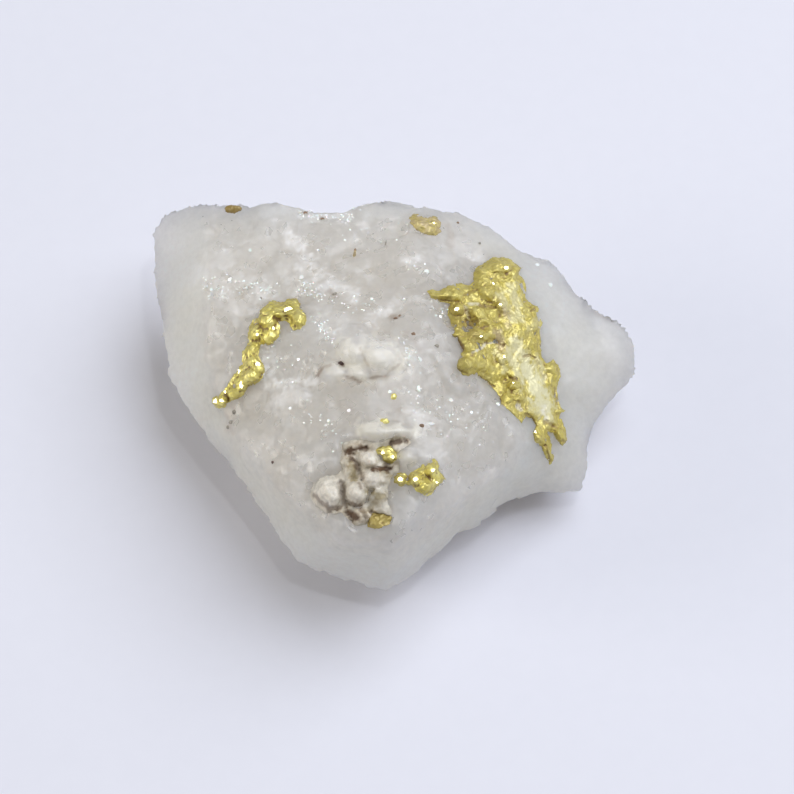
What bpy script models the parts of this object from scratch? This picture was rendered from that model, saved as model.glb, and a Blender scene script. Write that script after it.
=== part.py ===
"""Gold in quartz: a broken chunk of milky quartz with native gold grown through its display side.

Run it with: blender --background --python part.py

The chunk rests on a flat fracture, and its display side looks up and forward. Every table here
is in millimetres, and the tables draw that side square to a line of sight which climbs from the
table at SIGHT_ANGLE: "across" runs to the right, and "up" runs up and away from the viewer.
"height" is always above the table.
"""

import math

import bmesh
import bpy
from mathutils import Vector, noise
from mathutils.bvhtree import BVHTree
from mathutils.geometry import delaunay_2d_cdt, intersect_point_line

MM = 0.001
GAP = 0.1  # between two pieces that touch

SIGHT_ANGLE = math.radians(58)
SIGHT_HEIGHT = 5.0  # where the line of sight through (0, 0) meets the upright through the origin
TOWARD = Vector((0, -math.cos(SIGHT_ANGLE), math.sin(SIGHT_ANGLE)))  # from the chunk to the viewer
FAR = 100.0  # well outside the chunk

# The chunk's outline, clockwise from its upper left corner: (across, up, height).
RIM = (
    (-13.2, 9.0, 6.0), (-12.8, 9.7, 6.6), (-12.1, 10.2, 7.2), (-11.5, 10.3, 7.7), (-10.6, 10.4, 8.1),
    (-9.4, 10.3, 8.4), (-7.7, 10.3, 8.6), (-7.0, 10.6, 9.0), (-5.9, 10.5, 9.0), (-5.0, 10.2, 8.7),
    (-3.9, 10.0, 8.6), (-2.7, 10.1, 8.7), (-2.0, 10.5, 9.2), (-0.7, 10.5, 9.2), (0.8, 10.2, 9.0),
    (2.1, 10.0, 8.8), (3.2, 9.9, 8.6), (4.2, 9.6, 8.3), (5.7, 8.9, 7.9), (6.2, 8.3, 7.6),
    (7.1, 7.8, 7.3), (8.3, 7.4, 7.0), (9.1, 6.7, 6.6), (9.9, 5.8, 6.1), (10.7, 4.9, 5.7),
    (11.9, 4.2, 5.2), (12.6, 3.5, 4.8), (13.0, 2.6, 4.4), (13.2, 1.3, 3.8), (12.6, 0.7, 3.5),
    (11.7, -0.3, 3.2), (11.0, -1.3, 3.0), (10.6, -2.7, 2.8), (10.4, -4.0, 2.6), (10.0, -5.1, 2.4),
    (9.0, -5.3, 2.4), (7.8, -5.3, 2.5), (6.5, -5.6, 2.8), (5.5, -6.0, 3.2), (4.6, -6.8, 3.3),
    (3.7, -7.2, 3.4), (2.5, -8.3, 3.2), (1.0, -9.5, 3.0), (-0.5, -10.4, 2.8), (-2.6, -9.7, 3.0),
    (-4.2, -9.2, 3.2), (-5.0, -8.9, 3.3), (-5.8, -8.0, 3.5), (-7.1, -5.9, 3.9), (-8.5, -4.1, 4.2),
    (-10.2, -2.0, 4.5), (-11.6, -0.2, 4.8), (-12.1, 1.0, 5.0), (-12.4, 2.5, 5.1), (-12.8, 3.9, 5.2),
    (-13.1, 5.0, 5.3), (-13.1, 6.3, 5.4), (-13.2, 7.7, 5.7),
)

# Where the display side breaks from one fracture face to the next: (across, up, height).
CROWN_BREAKS = {
    "left_face_top": (
        (-10.2, 8.4, 8.8), (-9.8, 5.7, 9.0), (-10.0, 3.0, 8.3), (-9.6, 0.6, 7.6), (-8.5, -1.8, 7.2),
    ),
    "front_face_top": (
        (-7.0, -3.8, 7.4), (-5.0, -6.0, 7.6), (-2.8, -7.6, 8.0), (0.1, -7.8, 8.2), (2.4, -6.3, 7.9),
        (4.3, -5.0, 7.2),
    ),
    "ledge_top": (
        (4.3, 3.5, 9.6), (4.2, 1.1, 9.3), (5.6, -0.5, 8.6), (6.7, -2.3, 7.6), (5.9, -3.5, 7.2),
    ),
    "ledge_foot": (
        (5.0, 3.1, 9.0), (5.2, 1.1, 8.3), (6.5, -0.3, 7.4), (7.5, -2.5, 6.3), (6.6, -4.2, 5.6),
        (5.1, -5.4, 5.0),
    ),
}
CROWN_SPOTS = (
    (-11.6, 5.2, 7.0), (-11.3, 2.5, 6.6),  # left face
    (-7.8, 7.9, 9.2), (-4.5, 8.4, 9.2), (0.1, 7.9, 9.8), (2.5, 7.9, 9.4),  # behind the knob
    (-7.2, 4.6, 9.6), (-3.4, 5.7, 10.0), (-0.7, 5.1, 10.6), (1.9, 5.7, 10.2),
    (-6.6, 1.4, 9.4), (-3.4, 2.4, 10.8), (-1.5, 2.2, 11.3), (1.4, 3.0, 10.8), (3.2, 1.4, 9.9),  # knob
    (-6.0, -1.8, 9.0), (-3.4, -0.7, 10.5), (-1.3, -1.3, 10.8), (1.4, -0.2, 10.6), (3.2, -2.3, 9.6),
    (-4.4, -3.9, 9.2), (-1.3, -4.4, 9.9), (1.9, -3.9, 9.8), (-2.3, -6.2, 9.2), (0.8, -6.5, 9.2),
    (4.7, 7.9, 8.6), (5.7, 6.5, 8.6), (7.1, 4.1, 7.9), (9.0, 3.6, 6.8), (11.2, 2.5, 5.4),  # right face
    (8.9, 0.9, 6.0), (11.2, 0.3, 4.5), (8.9, -1.8, 5.0), (8.4, -4.0, 4.0), (10.0, -2.4, 3.9),
)

# The hidden side, in plan: (x, y, height). The foot lies just under the table, and is cut off flat.
FOOT_DEPTH = -0.3
FOOT = (
    (-8.0, 1.5), (-6.0, -3.6), (-1.8, -7.2), (2.4, -5.8), (7.0, -2.4), (8.0, 1.5), (5.0, 6.0), (-1.0, 8.0),
    (-6.5, 6.5),
)
UNDER_SPOTS = (
    (-10.5, 8.5, 4.0), (-6.0, 10.4, 4.5), (-1.0, 11.2, 4.2), (4.0, 10.2, 4.0), (8.0, 6.8, 3.2),
    (11.0, 3.0, 2.0), (-10.0, 0.0, 2.2), (-6.0, -6.0, 1.4), (-0.4, -9.0, 1.3), (4.0, -6.4, 1.2),
    (9.2, -3.0, 1.0), (-11.6, 4.5, 3.0),
)

# White knobs of quartz on the crown: (across, up, half width, half height, rise).
LUMPS = (
    (-0.65, 2.05, 1.03, 0.81, 0.95), (-2.27, 2.48, 0.76, 0.86, 0.55), (-3.19, 1.24, 0.76, 0.46, 0.50),
    (-2.05, 1.30, 0.65, 0.43, 0.40), (-1.67, 3.13, 0.54, 0.43, 0.30), (0.54, 2.48, 0.38, 0.38, 0.30),
    (0.49, 1.78, 0.32, 0.32, 0.25), (-1.08, -1.89, 0.86, 0.38, 0.50), (0.22, -1.89, 0.92, 0.38, 0.50),
    (0.70, -3.19, 0.38, 0.54, 0.30),
)

# The sugary crown, clockwise from its upper left corner: (across, up). The faces round it are smooth.
CROWN = (
    (-10.2, 9.6), (3.8, 9.4), (5.2, 6.6), (4.3, 3.5), (4.2, 1.1), (5.6, -0.5), (6.7, -2.3), (5.9, -3.5),
    (2.4, -6.3), (0.1, -7.8), (-2.8, -7.6), (-5.0, -6.0), (-7.0, -3.8), (-8.5, -1.8), (-9.6, 0.6),
    (-10.0, 3.0), (-9.8, 5.7),
)

# The rusty hollow under the knob, clockwise from its upper left.
HOLLOW = (
    (-2.59, -2.54), (-2.27, -2.43), (-1.73, -2.38), (-1.08, -2.54), (-0.43, -2.43), (0.00, -2.21),
    (0.54, -2.21), (0.81, -2.43), (0.54, -2.70), (0.22, -2.86), (0.16, -3.35), (0.27, -3.67),
    (0.11, -4.00), (-0.16, -4.16), (-0.32, -4.54), (-0.43, -4.91), (-0.32, -5.29), (-0.38, -5.67),
    (-0.16, -6.05), (-0.27, -6.43), (-0.86, -6.59), (-1.51, -6.64), (-2.05, -6.70), (-2.38, -6.37),
    (-2.65, -6.05), (-3.02, -6.10), (-3.56, -6.05), (-4.05, -5.72), (-4.27, -5.24), (-4.16, -4.75),
    (-3.83, -4.43), (-3.40, -4.27), (-2.92, -4.21), (-2.65, -3.89), (-2.75, -3.46), (-2.65, -3.02),
)
HOLLOW_DEPTH = 0.6
HOLLOW_LIP = 0.25  # how far outside its outline the hollow starts to sink

ROLL = (0.2, 4.0)  # the gentle swell of every fracture face: (height, length)
CHIPS = ((3.2, 0.24), (1.4, 0.08))  # the crown's hackly chips: (size, steepness)
SMOOTH_SHARE = 0.3  # of the crown's chipping, on the faces round it

CROWN_SPACING = 0.3  # between the points of the display side
UNDER_SPACING = 0.45
KEPT_SHARE = 0.2  # of the triangles, once the flat places are joined up


def sight_point(across, up, height):
    """The point at this height that is seen at (across, up)."""
    rise = height - SIGHT_HEIGHT
    return Vector((across, (up - rise * math.cos(SIGHT_ANGLE)) / math.sin(SIGHT_ANGLE), height))


def seen_at(point):
    """Where a point is seen, as (across, up)."""
    up = point.y * math.sin(SIGHT_ANGLE) + (point.z - SIGHT_HEIGHT) * math.cos(SIGHT_ANGLE)
    return Vector((point.x, up))


# ---------------------------------------------------------------- working on an outline


def joined(first, count, closed=False):
    """The edges that join a run of points, as index pairs."""
    pairs = [(first + i, first + i + 1) for i in range(count - 1)]
    return pairs + [(first + count - 1, first)] if closed else pairs


def to_outline(seen, outline):
    """The distance from a seen place to an outline, and whether the place lies inside it."""
    nearest = FAR
    inside = False
    for a, b in zip(outline, outline[1:] + outline[:1]):
        foot, share = intersect_point_line(seen, a, b)
        foot = a if share < 0 else b if share > 1 else foot.to_2d()
        nearest = min(nearest, (seen - foot).length)
        if (a.y > seen.y) != (b.y > seen.y):
            inside ^= seen.x < (b.x - a.x) * (seen.y - a.y) / (b.y - a.y) + a.x
    return nearest, inside


def dense_outline(outline, spacing):
    """The outline with points added along its longer stretches."""
    made = []
    for a, b in zip(outline, outline[1:] + outline[:1]):
        a, b = Vector(a), Vector(b)
        steps = max(1, round((b - a).length / spacing))
        made += [a.lerp(b, i / steps) for i in range(steps)]
    return made


def filled(outline, spacing):
    """Points on a grid inside an outline and clear of its edge, and halfway across its narrow necks."""
    row_step = spacing * math.sqrt(3) / 2
    low = Vector((min(p.x for p in outline), min(p.y for p in outline)))
    high = Vector((max(p.x for p in outline), max(p.y for p in outline)))
    grid = []
    for row in range(math.ceil((high.y - low.y) / row_step)):
        for column in range(math.ceil((high.x - low.x) / spacing)):
            grid.append(low + Vector(((column + 0.5 * (row % 2)) * spacing, row * row_step)))
    found = well_inside(grid, outline, 0.45 * spacing)
    return found + well_inside(straight_across(outline, found), outline, 0.2 * spacing)


def well_inside(places, outline, clearance):
    """Those of the places that lie inside an outline, this far clear of it."""
    distances = [(place, *to_outline(place, outline)) for place in places]
    return [place for place, distance, inside in distances if inside and distance > clearance]


def straight_across(outline, inner):
    """The middles of the sides that would join two points of the outline straight across its inside."""
    count = len(outline)
    triangles, sources = triangulated(outline + inner, joined(0, count, closed=True))
    pairs = set()
    for triangle in triangles:
        corners = [sources[i] for i in triangle]
        for a, b in zip(corners, corners[1:] + corners[:1]):
            if max(a, b) < count and (a - b) % count not in (1, count - 1):
                pairs.add((min(a, b), max(a, b)))
    return [(outline[a] + outline[b]) / 2 for a, b in sorted(pairs)]


def triangulated(places, edges):
    """The triangles between places inside the edges, and the place that each corner stands for."""
    triangles, sources = delaunay_2d_cdt(places, edges, [], 1, 1e-5, True)[2:4]
    return triangles, [source[0] for source in sources]


def laid_on(surface, place):
    """The point of the surface that is seen at a place."""
    start = sight_point(place.x, place.y, SIGHT_HEIGHT) + TOWARD * FAR
    hit = surface.ray_cast(start, -TOWARD)[0]
    if hit is None:
        raise ValueError(f"nothing of the surface is seen at {place}")
    return hit


def dome(seen, spot):
    """The height, from 0 to 1, of a rounded knob at a seen place."""
    a, u, half_width, half_height = spot[:4]
    reach = ((seen.x - a) / half_width) ** 2 + ((seen.y - u) / half_height) ** 2
    return math.sqrt(1 - reach) if reach < 1 else 0.0


def shoulder(distance, reach):
    """From 0 at an edge to 1 at this reach from it, rounded like a cushion's side."""
    share = min(distance / reach, 1.0)
    return math.sqrt(1 - (1 - share) ** 2)


# ---------------------------------------------------------------- the quartz


def span(bm, rim, inner, kept_edges, faces_viewer):
    """Spans the rim with triangles through the inner points."""
    verts = rim + inner
    edges = joined(0, len(rim), closed=True) + kept_edges
    triangles, sources = triangulated([seen_at(v.co) for v in verts], edges)
    for triangle in triangles:
        corners = [verts[sources[i]] for i in triangle]
        twin = bm.faces.get(corners)
        if twin:  # a sharp corner of the rim that both sides would span, with nothing between them
            bm.faces.remove(twin)
        else:
            bm.faces.new(corners if faces_viewer else corners[::-1])


def drop_loose(bm):
    """Removes edges and points that no face uses."""
    bmesh.ops.delete(bm, geom=[e for e in bm.edges if e.is_wire], context="EDGES")
    bmesh.ops.delete(bm, geom=[v for v in bm.verts if not v.link_faces], context="VERTS")


def main_faces(spots, lines, closed=False):
    """One side of the chunk as its main fracture faces, which meet along the lines."""
    bm = bmesh.new()
    rim = [bm.verts.new(sight_point(*p)) for p in RIM]
    inner = [bm.verts.new(p) for p in spots]
    breaks = []
    for line in lines:
        breaks += joined(len(rim) + len(inner), len(line), closed)
        inner += [bm.verts.new(p) for p in line]
    span(bm, rim, inner, breaks, faces_viewer=True)
    surface = BVHTree.FromBMesh(bm)
    bm.free()
    return surface


def plain_chunk():
    """The whole chunk, finely divided, before it weathers."""
    crown_lines = [[sight_point(*p) for p in line] for line in CROWN_BREAKS.values()]
    crown = main_faces([sight_point(*p) for p in CROWN_SPOTS], crown_lines)
    under = main_faces(UNDER_SPOTS, [[(x, y, FOOT_DEPTH) for x, y in FOOT]], closed=True)
    rim = dense_outline([sight_point(*p) for p in RIM], CROWN_SPACING)
    outline = [seen_at(p) for p in rim]
    bm = bmesh.new()
    ring = [bm.verts.new(p) for p in rim]
    for surface, spacing, faces_viewer in ((crown, CROWN_SPACING, True), (under, UNDER_SPACING, False)):
        inner = [bm.verts.new(laid_on(surface, place)) for place in filled(outline, spacing)]
        span(bm, ring, inner, [], faces_viewer)
    drop_loose(bm)
    return bm


def chips(point, size, steepness):
    """The height of a hackly fracture: each cell of space holds a small plane with a slope of its own."""
    place = point / size
    centre = noise.voronoi(place)[1][0]
    tilt = noise.cell_vector(centre * 9.7) - Vector((0.5, 0.5, 0.5))
    return size * steepness * tilt.dot(place - centre)


def weather(bm):
    """Gives every fracture face its roll and its chips, then raises the knobs and sinks the hollow."""
    crown_edge = [Vector(p) for p in CROWN]
    hollow_edge = [Vector(p) for p in HOLLOW]
    bm.normal_update()
    moves = []
    for v in bm.verts:
        on_crown = v.normal.dot(TOWARD) > 0 and to_outline(seen_at(v.co), crown_edge)[1]
        chipping = sum(chips(v.co, *chip) for chip in CHIPS) * (1.0 if on_crown else SMOOTH_SHARE)
        moves.append(v.normal * (ROLL[0] * noise.noise(v.co / ROLL[1]) + chipping))
    for v, move in zip(bm.verts, moves):
        on_display = v.normal.dot(TOWARD) > 0
        v.co += move
        if on_display:
            seen = seen_at(v.co)
            distance, in_hollow = to_outline(seen, hollow_edge)
            knob = max(dome(seen, spot) * spot[4] for spot in LUMPS)
            inward = distance if in_hollow else -distance
            v.co += TOWARD * (knob - HOLLOW_DEPTH * shoulder(max(inward + HOLLOW_LIP, 0), 1.0))


def simplified(bm):
    """The same surface with fewer triangles, so that each fracture face is a few large flats."""
    mesh = bpy.data.meshes.new("plain_chunk")
    bm.to_mesh(mesh)
    fine = bpy.data.objects.new("plain_chunk", mesh)
    bpy.context.scene.collection.objects.link(fine)
    fine.modifiers.new("fewer triangles", "DECIMATE").ratio = KEPT_SHARE
    bm.clear()
    bm.from_object(fine, bpy.context.evaluated_depsgraph_get())
    bpy.data.objects.remove(fine)
    return bm


def cut_foot(bm):
    """Cuts the chunk off flat where it stands on the table."""
    everything = bm.verts[:] + bm.edges[:] + bm.faces[:]
    table = {"plane_co": (0, 0, 0), "plane_no": (0, 0, 1)}
    bmesh.ops.bisect_plane(bm, geom=everything, dist=1e-5, clear_inner=True, **table)
    bmesh.ops.holes_fill(bm, edges=[e for e in bm.edges if e.is_boundary], sides=0)
    bmesh.ops.recalc_face_normals(bm, faces=bm.faces)


def make_chunk():
    bm = plain_chunk()
    weather(bm)
    simplified(bm)
    cut_foot(bm)
    return bm


# ---------------------------------------------------------------- what grows in the quartz

# The sheet of gold on the right of the knob, clockwise from its left tip: (across, up).
LEAF = (
    (1.78, 5.62), (1.94, 5.24), (2.48, 5.02), (2.92, 4.97), (2.92, 4.32), (3.02, 3.78), (3.24, 3.40),
    (2.97, 3.24), (3.35, 2.97), (3.46, 2.59), (3.62, 2.27), (3.40, 1.84), (3.40, 1.46), (3.62, 1.19),
    (4.00, 1.08), (4.37, 1.13), (4.75, 0.92), (5.18, 0.54), (5.56, 0.11), (5.72, -0.49), (6.21, -0.76),
    (6.59, -1.19), (6.80, -1.40), (7.02, -1.08), (7.34, -1.19), (7.61, -1.57), (7.45, -2.00), (7.56, -2.38),
    (7.94, -2.75), (8.15, -3.29), (8.37, -3.67), (8.59, -3.46), (8.48, -2.92), (8.37, -2.38), (8.21, -1.94),
    (8.59, -2.00), (8.80, -2.43), (9.07, -2.70), (9.29, -2.38), (9.23, -1.84), (9.07, -1.40), (8.91, -1.03),
    (9.23, -0.81), (8.96, -0.59), (8.80, -0.22), (8.75, 0.43), (8.96, 1.08), (8.86, 1.62), (8.59, 1.94),
    (8.15, 1.73), (7.94, 2.16), (7.94, 2.75), (7.78, 3.51), (7.99, 3.89), (7.78, 4.32), (7.72, 4.81),
    (7.45, 4.91), (7.18, 5.18), (7.13, 5.72), (7.02, 6.26), (6.75, 6.64), (6.97, 6.97), (6.64, 7.07),
    (6.37, 7.34), (5.99, 7.51), (5.56, 7.51), (5.18, 7.34), (4.75, 7.07), (4.43, 6.91), (4.27, 6.53),
    (4.32, 6.16), (4.00, 5.94), (3.56, 6.05), (3.13, 5.99), (2.75, 5.78), (2.32, 5.56), (2.00, 5.72),
)
# The string of grains on the left of the crown, clockwise from its lower tip.
VEIN = (
    (-9.77, -0.32), (-9.67, -0.11), (-9.34, 0.05), (-9.13, 0.27), (-8.91, 0.49), (-8.69, 0.86),
    (-8.37, 1.30), (-8.15, 1.67), (-8.05, 2.05), (-8.05, 2.48), (-7.88, 2.86), (-7.78, 3.24),
    (-7.72, 3.67), (-7.56, 4.00), (-7.29, 4.27), (-7.18, 4.64), (-6.91, 4.97), (-6.53, 5.08),
    (-6.16, 5.08), (-5.89, 5.02), (-5.62, 5.24), (-5.24, 5.24), (-4.97, 4.86), (-4.86, 4.54),
    (-4.70, 4.21), (-4.75, 3.83), (-4.97, 3.56), (-5.29, 3.51), (-5.56, 3.78), (-5.78, 4.05),
    (-6.10, 3.94), (-6.10, 3.51), (-6.21, 3.13), (-6.43, 2.75), (-6.80, 2.70), (-7.13, 2.81),
    (-7.24, 2.48), (-7.24, 2.05), (-7.02, 1.78), (-6.91, 1.40), (-7.02, 0.92), (-7.34, 0.54),
    (-7.67, 0.54), (-7.94, 0.27), (-8.15, -0.05), (-8.53, -0.22), (-8.86, -0.27), (-9.02, -0.54),
    (-9.40, -0.65), (-9.67, -0.54),
)
# The patch on the back edge of the crown.
BACK_PATCH = (
    (0.81, 9.72), (1.08, 9.88), (1.57, 9.88), (1.94, 9.83), (2.32, 9.72), (2.48, 9.34), (2.54, 8.91),
    (2.27, 8.64), (1.62, 8.75), (1.24, 9.02), (0.92, 9.34),
)
# The lumps at the foot of the brow.
NUGGET = (
    (0.00, -4.27), (0.22, -4.05), (0.54, -4.05), (0.76, -4.27), (0.92, -4.05), (1.40, -3.78), (1.78, -3.40),
    (2.11, -3.29), (2.38, -3.62), (2.48, -4.00), (2.70, -4.37), (2.27, -4.75), (1.94, -5.18), (1.67, -5.29),
    (1.30, -5.02), (0.92, -4.75), (0.59, -4.64), (0.32, -4.70), (0.05, -4.54),
)
# The bead that hangs from the hollow's brow.
BEAD = (
    (-1.13, -2.86), (-0.76, -2.65), (-0.22, -2.59), (0.16, -2.92), (0.16, -3.35), (-0.11, -3.62),
    (-0.54, -3.46), (-0.92, -3.13),
)
# The flake on the hollow's lower edge.
LOW_FLAKE = (
    (-1.51, -6.32), (-1.13, -6.05), (-0.49, -6.10), (-0.11, -6.37), (-0.22, -6.70), (-0.76, -6.91),
    (-1.35, -6.86),
)
EDGE_FLAKE = (-8.75, 10.15, 8.6, (0.45, 0.17, 0.3))  # (across, up, height, its half sizes)

# Rounded grains that stand out of a piece: (across, up, half width, half height, rise).
LEAF_GRAINS = (
    (5.62, 6.91, 0.76, 0.54, 0.45), (4.81, 6.59, 0.54, 0.49, 0.35), (6.43, 6.48, 0.49, 0.65, 0.35),
    (5.02, 5.72, 0.65, 0.49, 0.40), (6.05, 5.67, 0.54, 0.65, 0.25), (3.19, 5.40, 0.76, 0.32, 0.28),
    (2.32, 5.35, 0.43, 0.22, 0.20), (3.35, 4.59, 0.38, 0.32, 0.40), (4.37, 4.54, 0.49, 0.38, 0.45),
    (5.72, 4.81, 0.43, 0.38, 0.35), (3.62, 3.78, 0.32, 0.38, 0.30), (4.81, 4.00, 0.49, 0.38, 0.35),
    (4.64, 3.24, 0.49, 0.32, 0.45), (5.40, 3.56, 0.32, 0.38, 0.35), (3.94, 2.70, 0.43, 0.38, 0.35),
    (3.73, 1.62, 0.49, 0.49, 0.45), (4.59, 1.84, 0.65, 0.54, 0.35), (5.51, 1.30, 0.65, 0.54, 0.25),
    (5.89, 2.11, 0.38, 0.38, 0.25), (5.29, 0.43, 0.43, 0.43, 0.20), (6.37, 0.59, 0.38, 0.43, 0.40),
    (6.59, -0.22, 0.49, 0.32, 0.30), (5.94, -0.32, 0.32, 0.38, 0.25), (7.18, -0.86, 0.43, 0.32, 0.25),
    (7.61, -2.27, 0.27, 0.38, 0.25), (8.21, -3.13, 0.27, 0.49, 0.30), (9.02, -2.16, 0.32, 0.49, 0.30),
    (8.59, 1.35, 0.38, 0.43, 0.15), (7.45, 3.83, 0.43, 0.54, 0.18), (7.34, 4.64, 0.38, 0.32, 0.15),
)
LEAF_PITS = (
    (4.00, 3.83, 0.32, 0.27, 0.60), (3.40, 2.81, 0.22, 0.38, 0.40), (5.02, 4.86, 0.38, 0.16, 0.35),
    (5.45, 2.75, 0.49, 0.16, 0.30), (8.53, -1.67, 0.22, 0.27, 0.20),
)
VEIN_GRAINS = (
    (-9.61, -0.27, 0.22, 0.22, 0.20), (-9.18, -0.27, 0.32, 0.32, 0.29), (-8.59, 0.11, 0.35, 0.35, 0.31),
    (-8.15, 0.65, 0.40, 0.40, 0.36), (-7.61, 1.03, 0.46, 0.46, 0.40), (-7.24, 1.46, 0.38, 0.43, 0.34),
    (-7.56, 1.89, 0.38, 0.35, 0.31), (-7.72, 2.38, 0.32, 0.35, 0.29), (-7.45, 2.59, 0.27, 0.32, 0.24),
    (-7.40, 3.40, 0.43, 0.43, 0.38), (-6.70, 3.24, 0.46, 0.49, 0.40), (-6.80, 4.00, 0.54, 0.49, 0.42),
    (-6.53, 4.59, 0.65, 0.49, 0.42), (-6.05, 4.54, 0.38, 0.38, 0.34), (-5.56, 4.59, 0.38, 0.38, 0.34),
    (-5.29, 4.97, 0.38, 0.32, 0.29), (-5.08, 4.16, 0.38, 0.49, 0.34),
)
NUGGET_GRAINS = (
    (0.32, -4.37, 0.30, 0.30, 0.42), (1.13, -4.37, 0.38, 0.38, 0.45), (2.05, -3.89, 0.43, 0.43, 0.45),
    (1.73, -4.70, 0.49, 0.43, 0.42), (2.27, -4.37, 0.38, 0.38, 0.35),
)
HOLLOW_KNOBS = (
    (-1.30, -3.35, 0.46, 0.38, 0.60), (-1.13, -4.37, 0.46, 0.51, 0.75), (-3.46, -5.13, 0.59, 0.81, 0.85),
    (-1.94, -5.08, 0.59, 0.62, 0.80), (-2.27, -3.73, 0.38, 0.59, 0.35), (-0.81, -5.24, 0.49, 0.38, 0.40),
    (-1.67, -6.26, 0.43, 0.32, 0.35), (-0.54, -4.32, 0.38, 0.32, 0.35), (-2.05, -2.75, 0.38, 0.22, 0.20),
)

# The gold that lies in a socket: (outline, spacing of its points, rise of its face, grains, pits, depth).
IN_HOLLOW = {
    "gold_bead": (BEAD, 0.22, 0.45, (), (), 0.45),
    "gold_low_flake": (LOW_FLAKE, 0.22, 0.25, (), (), 0.4),
    "gold_nugget": (NUGGET, 0.22, 0.25, NUGGET_GRAINS, (), 0.5),
}
ON_CROWN = {
    "gold_leaf": (LEAF, 0.4, 0.28, LEAF_GRAINS, LEAF_PITS, 0.5),
    "gold_vein": (VEIN, 0.24, 0.16, VEIN_GRAINS, (), 0.5),
    "gold_back_patch": (BACK_PATCH, 0.28, 0.30, (), (), 0.4),
}
CRUMPLE = (0.10, 0.53)  # how a face of gold is crumpled: (height, length)
CRUST_SPACING = 0.26
CRUST_RISE = 0.1
CRUST_DEPTH = 0.4


def pillow(surface, outline, spacing, rise, depth):
    """A closed mass whose edge follows an outline laid on the surface.

    It swells out by rise(place, distance from the edge) and in by depth, both nothing at the edge.
    """
    bm = bmesh.new()
    edge = dense_outline(outline, spacing)
    ring = [bm.verts.new(laid_on(surface, place)) for place in edge]
    grid = [(p, laid_on(surface, p), to_outline(p, edge)[0]) for p in filled(edge, spacing)]
    for side, swell in ((1, rise), (-1, depth)):
        inner = [bm.verts.new(point + TOWARD * side * swell(p, distance)) for p, point, distance in grid]
        span(bm, ring, inner, [], faces_viewer=side > 0)
    drop_loose(bm)
    return bm


def gold_rise(face, grains, pits):
    """How far gold stands out of the quartz: a crumpled face, its grains, and its pits."""

    def rise(place, distance):
        crumple = CRUMPLE[0] * noise.noise(place.to_3d() / CRUMPLE[1])
        grain = max((dome(place, g) * g[4] for g in grains), default=0)
        pit = max((dome(place, p) * p[4] for p in pits), default=0)
        return shoulder(distance, 0.45) * max(face + crumple + grain - pit, 0.05)

    return rise


def crust_rise(place, distance):
    """The hollow's floor, with its knobs."""
    knob = max(dome(place, k) * k[4] for k in HOLLOW_KNOBS)
    return shoulder(distance, 0.3) * (CRUST_RISE + knob)


def even(depth, reach=0.5):
    """A depth that is reached a little way in from the edge."""
    return lambda place, distance: depth * shoulder(distance, reach)


def grain(across, up, height, half_sizes):
    """A small rounded grain, its half sizes across, up and toward the viewer."""
    bm = bmesh.new()
    bmesh.ops.create_icosphere(bm, subdivisions=2, radius=1)
    centre = sight_point(across, up, height)
    up_way = TOWARD.cross(Vector((1, 0, 0)))
    for v in bm.verts:
        lump = 1 + 0.25 * noise.noise(v.co * 1.3 + centre)
        x, y, z = (lump * size * part for size, part in zip(half_sizes, v.co))
        v.co = centre + Vector((x, 0, 0)) + up_way * y + TOWARD * z
    return bm


# ---------------------------------------------------------------- putting it together


def collection(name):
    made = bpy.data.collections.new(name)
    bpy.context.scene.collection.children.link(made)
    return made


def material(name, colour, roughness, metallic=0.0):
    made = bpy.data.materials.new(name)
    made.use_nodes = True
    shader = made.node_tree.nodes["Principled BSDF"]
    shader.inputs["Base Color"].default_value = (*colour, 1)
    shader.inputs["Roughness"].default_value = roughness
    shader.inputs["Metallic"].default_value = metallic
    made.diffuse_color = (*colour, 1)
    return made


def piece(name, bm, made_of, into, smooth=True):
    """A named object from a mesh in millimetres."""
    bmesh.ops.scale(bm, vec=(MM, MM, MM), verts=bm.verts)
    mesh = bpy.data.meshes.new(name)
    bm.to_mesh(mesh)
    bm.free()
    if smooth:
        mesh.shade_smooth()
        mesh.set_sharp_from_angle(angle=math.radians(40))
    mesh.materials.append(made_of)
    made = bpy.data.objects.new(name, mesh)
    into.objects.link(made)
    return made


def cut_socket(obj, filling, cutters):
    """Cuts the filling's seat out of an object, a gap wider all round than the filling."""
    name = filling.name + "_socket"
    cutter = bpy.data.objects.get(name)
    if cutter is None:
        mesh = filling.data.copy()
        bm = bmesh.new()
        bm.from_mesh(mesh)
        bm.normal_update()
        for v in bm.verts:
            v.co += v.normal * GAP * MM
        bm.to_mesh(mesh)
        bm.free()
        cutter = bpy.data.objects.new(name, mesh)
        cutters.objects.link(cutter)
        cutter.hide_render = True
        cutter.display_type = "WIRE"
    cut = obj.modifiers.new(name, "BOOLEAN")
    cut.operation = "DIFFERENCE"
    cut.solver = "EXACT"
    cut.object = cutter


def centre_on_origin(objects, measured):
    """Moves all objects together, so that the measured ones stand in the middle of the origin."""
    bpy.context.view_layer.update()
    corners = [Vector(corner) for obj in measured for corner in obj.bound_box]
    for axis in (0, 1):
        middle = (min(c[axis] for c in corners) + max(c[axis] for c in corners)) / 2
        for obj in objects:
            obj.location[axis] -= middle


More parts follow.
